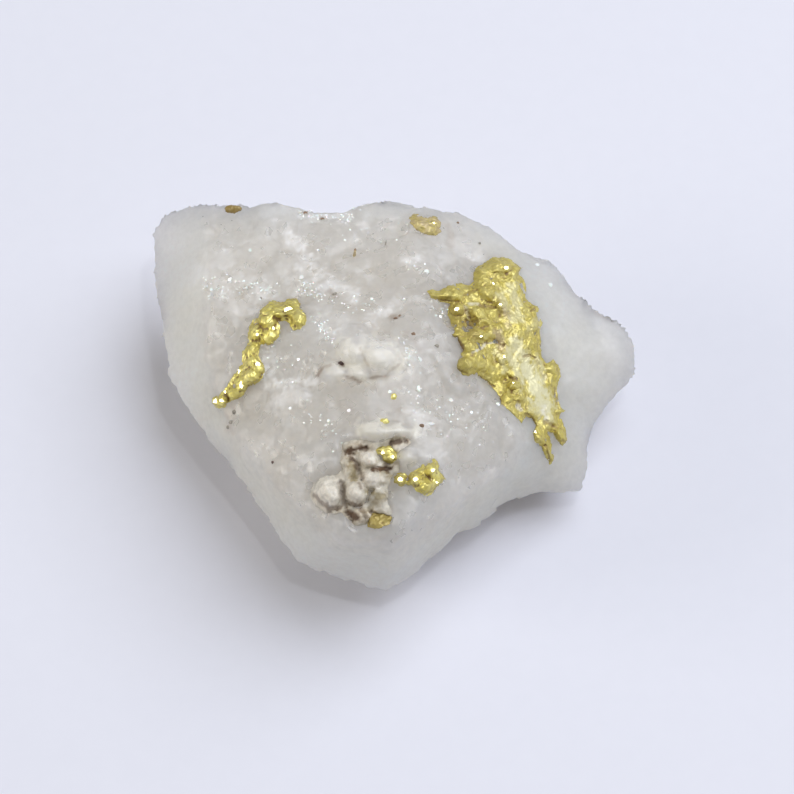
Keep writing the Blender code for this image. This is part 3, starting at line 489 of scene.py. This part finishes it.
class Nodes:
    """A material's nodes, made and joined in one call each."""

    def __init__(self, name):
        self.material = bpy.data.materials.new(name)
        self.material.use_nodes = True
        self.tree = self.material.node_tree
        self.shader = self.tree.nodes["Principled BSDF"]
        self.place = self.add("TexCoord").outputs["Object"]

    def add(self, kind, inputs=None, **settings):
        node = self.tree.nodes.new("ShaderNode" + kind)
        for key, value in settings.items():
            setattr(node, key, value)
        for key, value in (inputs or {}).items():
            self.put(node.inputs[key], value)
        return node

    def put(self, socket, value):
        """Links a socket to another's output, or sets its value."""
        if isinstance(value, bpy.types.NodeSocket):
            self.tree.links.new(value, socket)
        elif isinstance(value, tuple) and socket.type == "RGBA":
            socket.default_value = (*value, 1)
        else:
            socket.default_value = value

    def math(self, operation, a, b=0.0, c=0.0, clamp=False):
        return self.add("Math", {0: a, 1: b, 2: c}, operation=operation, use_clamp=clamp).outputs[0]

    def vector(self, operation, a, b=None, scale=None):
        inputs = {0: a}
        if b is not None:
            inputs[1] = b
        if scale is not None:
            inputs["Scale"] = scale
        return self.add("VectorMath", inputs, operation=operation).outputs[0]

    def value(self, name):
        return self.add("Attribute", attribute_name=name).outputs["Fac"]

    def colour(self, name):
        return self.add("Attribute", attribute_name=name).outputs["Color"]

    def noise(self, scale, detail=3.0, roughness=0.55, stretch=(1, 1, 1), turn=(0, 0, 0), distortion=0.0):
        """Noise of about this many waves a metre."""
        where = self.add("Mapping", {"Vector": self.place, "Scale": stretch, "Rotation": turn}).outputs[0]
        inputs = {
            "Vector": where,
            "Scale": scale,
            "Detail": detail,
            "Roughness": roughness,
            "Distortion": distortion,
        }
        return self.add("TexNoise", inputs).outputs["Fac"]

    def cells(self, scale):
        """A random colour for each small cell of space."""
        return self.add("TexVoronoi", {"Vector": self.place, "Scale": scale}).outputs["Color"]

    def tilted(self, normal, cells, amount):
        """A normal that leans a way of its own in each cell."""
        lean = self.vector("SCALE", self.vector("SUBTRACT", cells, (0.5, 0.5, 0.5)), scale=amount)
        return self.vector("NORMALIZE", self.vector("ADD", normal, lean))

    def ramp(self, value, low, high, to_low=0.0, to_high=1.0):
        inputs = {"Value": value, "From Min": low, "From Max": high, "To Min": to_low, "To Max": to_high}
        return self.add("MapRange", inputs, interpolation_type="SMOOTHSTEP").outputs[0]

    def mix(self, share, a, b):
        node = self.tree.nodes.new("ShaderNodeMix")
        node.data_type = "RGBA"
        self.put(node.inputs[0], share)
        self.put(node.inputs[6], a)
        self.put(node.inputs[7], b)
        return node.outputs[2]

    def tinted(self, colour, shade):
        """A colour multiplied by a grey or another colour."""
        made = self.mix(1.0, colour, shade)
        made.node.blend_type = "MULTIPLY"
        return made

    def finish(self, **inputs):
        for key, value in inputs.items():
            self.put(self.shader.inputs[key.replace("_", " ")], value)
        return self.material


def quartz_material():
    n = Nodes("milky_quartz")
    crown = n.value("crown")
    streaks = n.noise(420, 4, 0.6, stretch=(0.6, 1.6, 1), turn=(0, 0, 0.6), distortion=0.4)
    veils = n.ramp(streaks, 0.54, 0.76)
    clouds = n.ramp(n.noise(160, 3, 0.5, distortion=0.5), 0.35, 0.70)
    milk = n.math("ADD", n.math("MULTIPLY", clouds, 0.30), n.math("MULTIPLY", veils, 0.35), clamp=True)
    glassy = n.ramp(n.noise(190, 3, 0.5, distortion=0.4), 0.40, 0.62)
    glassy = n.math("MAXIMUM", glassy, n.math("MULTIPLY", veils, 0.5))
    # Off the crown the stone is lighter and warmer: the clearer quartz's own tone, and painted light
    # standing for light passing through the stone.
    plain = n.mix(glassy, (0.990, 0.938, 0.858), (0.958, 0.900, 0.805))
    clear = n.mix(crown, plain, (0.782, 0.744, 0.680))
    colour = n.mix(n.math("MULTIPLY", milk, crown), clear, (0.95, 0.945, 0.94))
    mottle = n.ramp(n.noise(3000, 3, 0.6), 0.3, 0.7, 0.95, 1.04)
    colour = n.tinted(colour, mottle)
    colour = n.mix(n.math("MULTIPLY", n.value("white"), 0.75), colour, (0.985, 0.985, 0.985))
    colour = n.mix(n.value("cream"), colour, (0.79, 0.76, 0.67))
    # Brown stains, partly painted shade round the white knobs.
    colour = n.mix(n.value("stain"), colour, (0.22, 0.14, 0.09))
    grains = n.noise(5200, 3, 0.6)
    sugar = n.add("TexVoronoi", {"Vector": n.place, "Scale": 3600.0}, feature="F1").outputs["Distance"]
    height = n.math("ADD", n.math("MULTIPLY", grains, 0.5), n.math("MULTIPLY", sugar, 0.6))
    strength = n.math("MULTIPLY_ADD", crown, 0.24, 0.01)
    bump = n.add("Bump", {"Height": height, "Strength": strength, "Distance": 0.00006})
    cells = n.cells(2600.0)
    tilt = n.tilted(bump.outputs[0], cells, n.math("MULTIPLY", crown, 0.13))
    shine = n.ramp(n.add("SeparateColor", {0: cells}).outputs[0], 0.0, 0.4, 0.24, 0.0)
    roughness = n.math("SUBTRACT", 0.44, n.math("MULTIPLY", crown, shine))
    opaque = n.math("MAXIMUM", n.value("white"), n.math("MULTIPLY", n.value("cream"), 0.9))
    opaque = n.math("MAXIMUM", opaque, n.value("stain"))
    milky = n.math("MULTIPLY", n.math("MULTIPLY", veils, crown), 0.55)
    opaque = n.math("MAXIMUM", opaque, milky, clamp=True)
    return n.finish(
        Base_Color=colour,
        Roughness=roughness,
        IOR=1.54,
        Subsurface_Weight=n.math("SUBTRACT", 1.0, n.math("MULTIPLY", opaque, 0.7)),
        Subsurface_Radius=(1.0, 0.95, 0.88),
        Subsurface_Scale=0.009,
        Transmission_Weight=n.math("SUBTRACT", 0.4, n.math("MULTIPLY", opaque, 0.4)),
        Normal=tilt,
    )


def facet_material():
    n = Nodes("quartz_facet")
    colour = n.mix(n.ramp(n.noise(3000, 2, 0.5), 0.3, 0.7), (0.80, 0.785, 0.75), (0.86, 0.855, 0.84))
    return n.finish(
        Base_Color=colour,
        Roughness=0.20,
        IOR=1.54,
        Subsurface_Weight=0.5,
        Subsurface_Scale=0.0003,
    )


def glint_material():
    n = Nodes("gold_highlight_facet")
    # Paler than the gold round it, to tint the lamp's reflection on these facets: a painted highlight.
    colour = n.mix(n.ramp(n.noise(3000, 2, 0.5), 0.3, 0.7), (0.90, 0.82, 0.42), (0.96, 0.90, 0.52))
    return n.finish(Base_Color=colour, Metallic=0.9, Roughness=0.27)


def gold_material():
    n = Nodes("native_gold")
    mottle = n.noise(2600, 4, 0.6)
    colour = n.mix(n.ramp(mottle, 0.3, 0.7), (0.84, 0.745, 0.19), (0.94, 0.86, 0.34))
    patches = n.ramp(n.noise(850, 3, 0.6, distortion=0.3), 0.42, 0.72, 0.0, 0.55)
    colour = n.mix(patches, colour, (0.60, 0.50, 0.12))
    tarnish = n.ramp(n.noise(4200, 3, 0.65, distortion=0.4), 0.46, 0.62, 0.0, 0.5)
    colour = n.mix(n.math("MULTIPLY", tarnish, n.value("matt")), colour, (0.44, 0.36, 0.10))
    # Darker olive where the gold turns away from the viewer: painted shade along its edges. The sheet of
    # gold is also darkened all over, as its own tone.
    colour = n.mix(n.value("side"), colour, (0.40, 0.31, 0.065))
    # Paler where the sheet is smooth: its own tone, and a painted sheen of the broad light.
    colour = n.mix(n.math("MULTIPLY", n.value("pale"), 0.85), colour, (0.80, 0.77, 0.52))
    colour = n.mix(n.value("stain"), colour, (0.72, 0.60, 0.44))
    colour = n.mix(n.value("white"), colour, (0.80, 0.78, 0.72))
    # Darker olive-brown in the creases and dark strokes, as stain and painted shade, and over the duller
    # pieces.
    colour = n.mix(n.value("crease_shade_and_stain"), colour, (0.22, 0.13, 0.045))
    dull = n.math("MAXIMUM", n.value("white"), n.math("MULTIPLY", n.value("crease_shade_and_stain"), 0.6))
    metal = n.math("SUBTRACT", 0.62, n.math("MULTIPLY", n.value("matt"), 0.08))
    dull = n.math("MAXIMUM", dull, n.math("MULTIPLY", n.value("pale"), 0.25))
    metal = n.math("SUBTRACT", metal, dull, clamp=True)
    fine = n.noise(9000, 3, 0.6)
    dents = n.math("ADD", n.math("MULTIPLY", fine, 0.3), n.noise(2800, 3, 0.6, distortion=0.6))
    bump = n.add("Bump", {"Height": dents, "Strength": 0.6, "Distance": 0.00008})
    roughness = n.math("MULTIPLY_ADD", n.value("matt"), 0.08, 0.36)
    return n.finish(Base_Color=colour, Metallic=metal, Roughness=roughness, Normal=bump.outputs[0])


def crust_material():
    n = Nodes("iron_stained_quartz")
    blotch = n.ramp(n.noise(2400, 4, 0.6), 0.30, 0.72, 0.75, 1.1)
    colour = n.tinted(n.colour("paint"), blotch)
    grains = n.noise(5200, 3, 0.6)
    bump = n.add("Bump", {"Height": grains, "Strength": 0.5, "Distance": 0.00006})
    return n.finish(
        Base_Color=colour,
        Roughness=0.55,
        Subsurface_Weight=0.5,
        Subsurface_Radius=(1.0, 0.9, 0.8),
        Subsurface_Scale=0.0003,
        Normal=bump.outputs[0],
    )


def speck_material(name):
    n = Nodes("speck_" + name)
    r, g, b = SPECK_COLOURS[name]
    mottle = n.ramp(n.noise(6000, 2, 0.5), 0.3, 0.7)
    return n.finish(Base_Color=n.mix(mottle, (r, g, b), (r * 1.8, g * 1.8, b * 1.8)), Roughness=0.6)


def table_material():
    n = Nodes("table")
    grain = n.ramp(n.noise(900, 2, 0.5), 0.2, 0.8)
    return n.finish(Base_Color=n.mix(grain, (0.738, 0.750, 0.829), (0.746, 0.758, 0.837)), Roughness=0.8)


# ---------------------------------------------------------------- the stone


def facet_spots():
    """Where the tiny facets lie that catch the bright light: (across, up, half width, half height)."""
    spots = [(a, u, GLINT_SHARE * width, GLINT_SHARE * height) for a, u, width, height in GLINTS]
    chance = random.Random(7)
    for a0, u0, a1, u1, half_width, count in SUGAR:
        for _ in range(3 * count):
            share = chance.random()
            a = a0 + (a1 - a0) * share + chance.gauss(0, half_width / 2)
            u = u0 + (u1 - u0) * share + chance.gauss(0, half_width / 2)
            size = chance.uniform(0.02, 0.065)
            spots.append((a, u, size, size * chance.uniform(0.5, 1.0)))
    return spots


def make_facets(name, spots, surfaces, material, sides, lean):
    """Tiny flat facets, which lean between the viewer and the bright light."""
    chance = random.Random(11)
    bm = bmesh.new()
    for a, u, half_width, half_height in spots:
        hits = [hit for hit in (seen_point(surface, a, u) for surface in surfaces) if hit]
        if not hits:
            continue
        point = max(hits, key=TOWARD.dot)
        facing = ((GLINT_LIGHT / MM - point).normalized() + TOWARD).normalized()
        facing = (facing + Vector([chance.gauss(0, lean) for _ in range(3)])).normalized()
        side = facing.cross(UP_WAY).normalized()
        other = side.cross(facing)
        turn = chance.uniform(0, math.tau)
        corners = []
        for i in range(sides):
            angle = turn + math.tau * i / sides
            reach = chance.uniform(0.7, 1.1)
            off = side * (math.cos(angle) * half_width * reach)
            off += other * (math.sin(angle) * half_height * reach)
            corners.append(bm.verts.new(point + TOWARD * FACET_LIFT + off))
        top = bm.faces.new(corners)
        if top.normal.dot(TOWARD) < 0:
            top.normal_flip()
        foot = bm.verts.new(point - TOWARD * FACET_DEPTH)
        for p, q in zip(corners, corners[1:] + corners[:1]):
            bm.faces.new((p, q, foot))
    bmesh.ops.recalc_face_normals(bm, faces=bm.faces)
    mesh = bpy.data.meshes.new(name)
    bm.to_mesh(mesh)
    bm.free()
    obj = bpy.data.objects.new(name, mesh)
    bpy.context.scene.collection.objects.link(obj)
    finish_piece(obj, material, [])
    obj.data.shade_flat()


def make_quartz():
    """The stone, sugary and chipped on its crown and hackly where it is hidden."""
    beds = [(node, *GOLD_BED) for node in GOLD]
    bm = solids([("quartz", 0.0, 0.0), ("hollow_crust", *CRUST_BED), *beds])
    obj = remeshed("fine_quartz", bm, *QUARTZ_MESH)
    mesh = obj.data
    points = points_of(mesh)
    normals = normals_of(mesh)
    places = seen(points)
    ragged = sampled(fractal(0.5, 3, 2.0), points)
    facing = normals @ np.array(TOWARD)
    shown = step(0.0, 0.3, facing)
    crown = step(-0.9, 0.7, signed(places, CROWN) + 0.6 * ragged) * shown
    edge_on = (1 - step(0.1, 0.5, np.abs(facing))) * step(0.6, 1.6, points[:, 2])
    hidden = (1 - step(-0.45, 0.05, facing)) * step(0.3, 1.2, points[:, 2])
    rough = np.maximum(np.maximum(0.25 + 0.75 * crown, 0.9 * edge_on), 1.2 * hidden)

    moves = np.zeros(len(points))
    for size, steepness in CROWN_CHIPS:
        moves += sampled(chips(size, steepness), points) * rough
    moves += 0.018 * sampled(fractal(0.4), points) * rough
    moves += sum(sampled(chips(*chip), points) for chip in EDGE_CHIPS) * edge_on
    swells = 0.10 * sampled(fractal(2.2, 4, 6.0), points)
    moves += (sampled(chips(*HIDDEN_CHIPS), points) + swells) * hidden
    off_table = step(0.0, 0.4, points[:, 2])
    points = points + normals * (moves * off_table)[:, None]

    knob = lumps(KNOBS, places, 0.1 * ragged)
    # Brown stains of the quartz and the crust's dark strokes; round the white knobs partly painted shade.
    rust_and_shade = np.maximum(painted(places, STAIN_AND_SHADE, ragged), 0.9 * painted(places, CRUST_DARK, ragged))
    stain = rust_and_shade * shown
    points += np.outer((knob - 0.08 * stain) * shown, TOWARD)
    set_points(mesh, points)

    streaks = np.clip(0.6 + 1.0 * sampled(fractal(0.22, 3, 5.0), points), 0.1, 1)
    keep_value(mesh, "crown", crown)
    keep_value(mesh, "white", painted(places, WHITE, ragged) * streaks * shown)
    keep_value(mesh, "cream", painted(places, CREAM, ragged) * shown)
    keep_value(mesh, "stain", stain)
    return finish_piece(obj, quartz_material(), ["quartz"])


def make_crust():
    """The grainy crust of the hollow, with its colours and the painted shade of its hollows painted on.
    """
    bm = solids([("hollow_crust", *CRUST_SKIN)])
    obj = remeshed("fine_hollow_crust", bm, *CRUST_MESH)
    mesh = obj.data
    points = points_of(mesh)
    normals = normals_of(mesh)
    places = seen(points)
    ragged = sampled(fractal(0.35, 4), points)
    dark = painted(places, CRUST_DARK, ragged)
    pale = painted(places, CRUST_PALE, ragged)
    olive = painted(places, CRUST_OLIVE, ragged)
    halo = painted(places, CRUST_DARK, ragged, 2.4)
    points = points + normals * (0.05 * ragged)[:, None]
    points += np.outer(0.18 * pale - 0.12 * dark, TOWARD)
    set_points(mesh, points)
    hollows = cavity(mesh, 8)
    paint = np.tile(CRUST_COLOUR, (len(points), 1))
    layers = (
        (0.5 * halo, (0.46, 0.36, 0.23)),
        (pale, (0.81, 0.765, 0.68)),
        (olive, (0.34, 0.27, 0.12)),
        (dark, (0.115, 0.058, 0.026)),
    )
    for cover, colour in layers:
        paint = paint * (1 - cover[:, None]) + np.array(colour) * cover[:, None]
    # Darker and warmer in the crust's hollows: painted shade.
    shade = step(0.01, 0.07, hollows)[:, None]
    keep_colour(mesh, "paint", paint * (1 - 0.4 * shade * (1, 1.1, 1.25)))
    return finish_piece(obj, crust_material(), ["hollow_crust"])


# ---------------------------------------------------------------- the gold


def make_gold(node, material):
    """A piece of gold, crumpled and lumpy, with its marks painted on, stain and painted shade in its
    creases, and painted shade along its edges.
    """
    bm = solids([(node, *GOLD_SKIN)])
    obj = remeshed("fine_" + node, bm, *GOLD_MESH)
    mesh = obj.data
    points = points_of(mesh)
    normals = normals_of(mesh)
    places = seen(points)
    ragged = sampled(fractal(0.3, 3, 4.0), points)
    crinkle = sampled(ridged(0.5, 3), points) - 1.0
    zero = np.zeros(len(points))
    leaf = node == "gold_leaf"
    marks = (LEAF_PALE_AND_SHEEN, LEAF_DARK_SHADE_AND_STAIN, LEAF_WHITE, LEAF_STAIN)
    pale, dark, white, stain = (painted(places, mark, ragged) if leaf else zero for mark in marks)
    if node == "gold_back_patch":
        stain = np.clip(0.35 + 0.5 * ragged, 0, 1)
    lump = lumps(GRAINS.get(node, ()), places, 0.15 * ragged, 1.0 if leaf else 0.5)
    calm = 1 - 0.75 * pale
    moves = calm * (0.045 * crinkle + 0.06 * sampled(fractal(0.7, 2, 8.0), points)) + 0.012 * ragged
    fine = 0.042 if leaf else 0.055
    moves += fine * (sampled(ridged(0.24, 2, 3.0), points) - 1.0) * (0.3 + 0.7 * calm)
    points = points + normals * moves[:, None] + np.outer(lump - 0.16 * dark - 0.04 * white, TOWARD)
    set_points(mesh, points)
    # Deeper than the surface round them: stain and painted shade in the creases between lumps.
    crease_shade_and_stain = step(0.006, 0.036, cavity(mesh, 6 if leaf else 10)) * calm
    # How far the gold turns away from the viewer, for painted shade along its edges; the sheet gets a
    # floor of darkening as its tone.
    facing = normals_of(mesh) @ np.array(TOWARD)
    keep_value(mesh, "side", np.maximum(0.75 * (1 - step(0.1, 0.75, facing)), 0.42 * leaf))
    dull = DULLNESS.get(node, 0.0)
    keep_value(mesh, "crease_shade_and_stain", np.maximum(np.maximum(crease_shade_and_stain * 0.95, dark), dull))
    # Pale: the smooth gold's paler tone, and a painted sheen.
    keep_value(mesh, "pale", pale)
    keep_value(mesh, "matt", zero + (node in ("gold_leaf", "gold_back_patch")))
    keep_value(mesh, "white", white)
    keep_value(mesh, "stain", stain)
    return finish_piece(obj, material, [node])


# ---------------------------------------------------------------- grains held in the quartz


def surface_of(obj):
    """A tree of the object's faces, to find where lines meet them."""
    bm = bmesh.new()
    bm.from_mesh(obj.data)
    surface = BVHTree.FromBMesh(bm)
    bm.free()
    return surface


def seen_point(surface, across, up):
    """The point of the surface, in mm, that is seen at (across, up), or None past its edge."""
    start = (Vector((across, 0, SIGHT_HEIGHT)) + UP_WAY * up + TOWARD * 50 + Vector(SHIFT)) * MM
    hit = surface.ray_cast(start, -TOWARD)[0]
    return hit and hit / MM


def make_specks(surface, gold):
    """Small grains, half sunk in the quartz where they are seen."""
    materials = {name: speck_material(name) for name in SPECK_COLOURS}
    materials["gold"] = gold
    for kind, material in materials.items():
        grains = bmesh.new()
        for a, u, half_width, half_height, turn, colour in SPECKS:
            if colour != kind:
                continue
            hit = seen_point(surface, a, u)
            one = bmesh.ops.create_icosphere(grains, subdivisions=3, radius=1)["verts"]
            facing = Matrix((Vector((1, 0, 0)), UP_WAY, TOWARD)).transposed()
            facing = facing @ Matrix.Rotation(turn, 3, "Z")
            for v in one:
                lump = 1 + 0.3 * noise.fractal(v.co * 1.2 + Vector((a, u, 0)) * 7, 0.8, 2.1, 3)
                size = Vector((half_width, half_height, min(half_width, half_height) * 0.8))
                v.co = hit + facing @ Vector([lump * s * c for s, c in zip(size, v.co)])
        mesh = bpy.data.meshes.new("specks_" + kind)
        grains.to_mesh(mesh)
        grains.free()
        obj = bpy.data.objects.new("specks_" + kind, mesh)
        bpy.context.scene.collection.objects.link(obj)
        if kind == "gold":
            for name in ("crease_shade_and_stain", "pale", "white", "stain", "side", "matt"):
                keep_value(mesh, name, np.zeros(len(mesh.vertices)))
        finish_piece(obj, material, [])


# ---------------------------------------------------------------- table, light, camera


def make_table():
    """A plain pale table under the stone."""
    bpy.ops.mesh.primitive_plane_add(size=3.0, location=(0, 0, 0))
    table = bpy.context.object
    table.name = "table"
    table.data.materials.append(table_material())


def make_light(name, place, size, power, colour):
    """A square soft light that faces the stone."""
    light = bpy.data.lights.new(name, "AREA")
    light.size = size
    light.energy = power
    light.color = colour
    obj = bpy.data.objects.new(name, light)
    bpy.context.scene.collection.objects.link(obj)
    obj.location = place
    obj.rotation_euler = (STONE_MIDDLE - Vector(place)).to_track_quat("-Z", "Y").to_euler()


def make_world():
    """An even, slightly warm light from all round."""
    world = bpy.data.worlds.new("world")
    bpy.context.scene.world = world
    world.use_nodes = True
    background = world.node_tree.nodes["Background"]
    background.inputs["Color"].default_value = (*WORLD_COLOUR, 1)
    background.inputs["Strength"].default_value = WORLD_STRENGTH


def make_camera():
    """Looks down the line of sight, a few dots off the tables' origin as the photograph is framed."""
    scale = DOT * MM
    aim = Vector(SHIFT) * MM + Vector((0, 0, SIGHT_HEIGHT)) * MM
    aim += Vector((3 * scale, 0, 0)) - UP_WAY * scale
    data = bpy.data.cameras.new("camera")
    camera = bpy.data.objects.new("camera", data)
    bpy.context.scene.collection.objects.link(camera)
    camera.location = aim + TOWARD * CAMERA_DISTANCE
    camera.rotation_euler = (math.pi / 2 - SIGHT_ANGLE, 0, 0)
    data.sensor_width = SENSOR
    data.lens = SENSOR * CAMERA_DISTANCE / (PICTURE * scale)
    data.clip_start = 0.02
    data.clip_end = 10
    bpy.context.scene.camera = camera


quartz = make_quartz()
surface = surface_of(quartz)
make_crust()
gold = gold_material()
pieces = [make_gold(node, gold) for node in GOLD]
make_facets("fine_quartz_facets", facet_spots(), [surface], facet_material(), 5, 0.022)
gold_surfaces = [surface_of(piece) for piece in pieces]
make_facets("fine_gold_facets", GOLD_GLINTS, gold_surfaces, glint_material(), 9, 0.01)
make_specks(surface, gold)
make_table()
for light in LIGHTS:
    make_light(*light)
make_world()
make_camera()
bpy.context.scene.view_settings.view_transform = "Standard"
